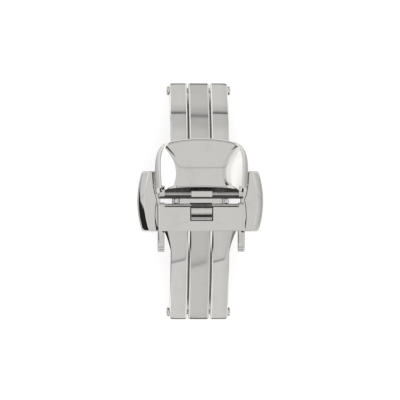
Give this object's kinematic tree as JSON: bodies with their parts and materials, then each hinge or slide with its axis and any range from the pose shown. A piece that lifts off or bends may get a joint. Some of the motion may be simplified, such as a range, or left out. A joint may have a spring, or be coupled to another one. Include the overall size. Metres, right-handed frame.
{
  "type": "folding watch clasp",
  "caption": "Push-button folding clasp for a watch strap, with curved blades, a flip cover over the strap's tail, a strap frame with legs and sprung side buttons.",
  "frame": {"origin": "middle of the clasp, at the level of the lowest points of the hinge eyes", "axes": "+X across the strap, +Y along the strap towards the flip cover, +Z out of the wrist"},
  "size_m": [0.0276, 0.0528, 0.0162],
  "materials": {
    "polished_steel": "mirror polished stainless steel",
    "lock_steel": "fine satin stainless steel",
    "spring_steel": "drawn spring wire"
  },
  "bodies": {
    "base": {"base_blade": "polished_steel", "lock_housing": "lock_steel", "housing_lid": "lock_steel", "left_stem_guide": "polished_steel", "right_stem_guide": "polished_steel", "lock_rivets": "polished_steel", "upper_hinge_pin": "polished_steel", "lower_hinge_pin": "polished_steel", "left_springs": "spring_steel", "right_springs": "spring_steel"},
    "upper_arm_body": {"upper_arm": "polished_steel", "upper_strikers": "lock_steel", "left_cheek": "polished_steel", "right_cheek": "polished_steel", "cover_rod": "polished_steel"},
    "cover_body": {"cover": "polished_steel", "cover_hinge_plate": "polished_steel", "strap_peg": "polished_steel"},
    "lower_arm_body": {"lower_arm": "polished_steel", "lower_strikers": "lock_steel", "strap_frame": "polished_steel", "clip_rod": "polished_steel"},
    "tail_clip_body": {"tail_clip": "polished_steel"},
    "left_button_body": {"left_button": "polished_steel", "left_stems": "polished_steel", "left_catch": "lock_steel"},
    "right_button_body": {"right_button": "polished_steel", "right_stems": "polished_steel", "right_catch": "lock_steel"}
  },
  "joints": [
    {"name": "upper_arm_fold", "type": "hinge", "parent": "base", "child": "upper_arm_body", "pos_m": [0, 0.0247, 0.001], "axis": [-1, 0, 0], "range_deg": [0, 150]},
    {"name": "lower_arm_fold", "type": "hinge", "parent": "base", "child": "lower_arm_body", "pos_m": [0, -0.0247, 0.001], "axis": [1, 0, 0], "range_deg": [0, 150]},
    {"name": "cover_flip", "type": "hinge", "parent": "upper_arm_body", "child": "cover_body", "pos_m": [0, 0.0016, 0.01418], "axis": [1, 0, 0], "range_deg": [0, 95]},
    {"name": "tail_clip_lift", "type": "hinge", "parent": "lower_arm_body", "child": "tail_clip_body", "pos_m": [0, -0.00085, 0.01398], "axis": [-1, 0, 0], "range_deg": [0, 40]},
    {"name": "left_button_press", "type": "slide", "parent": "base", "child": "left_button_body", "axis": [1, 0, 0], "range_m": [0, 0.00085], "stiffness_N_per_m": 1500, "springref_m": -0.0005, "deforming": ["left_springs"]},
    {"name": "right_button_press", "type": "slide", "parent": "base", "child": "right_button_body", "axis": [-1, 0, 0], "range_m": [0, 0.00085], "stiffness_N_per_m": 1500, "springref_m": -0.0005, "deforming": ["right_springs"]}
  ]
}
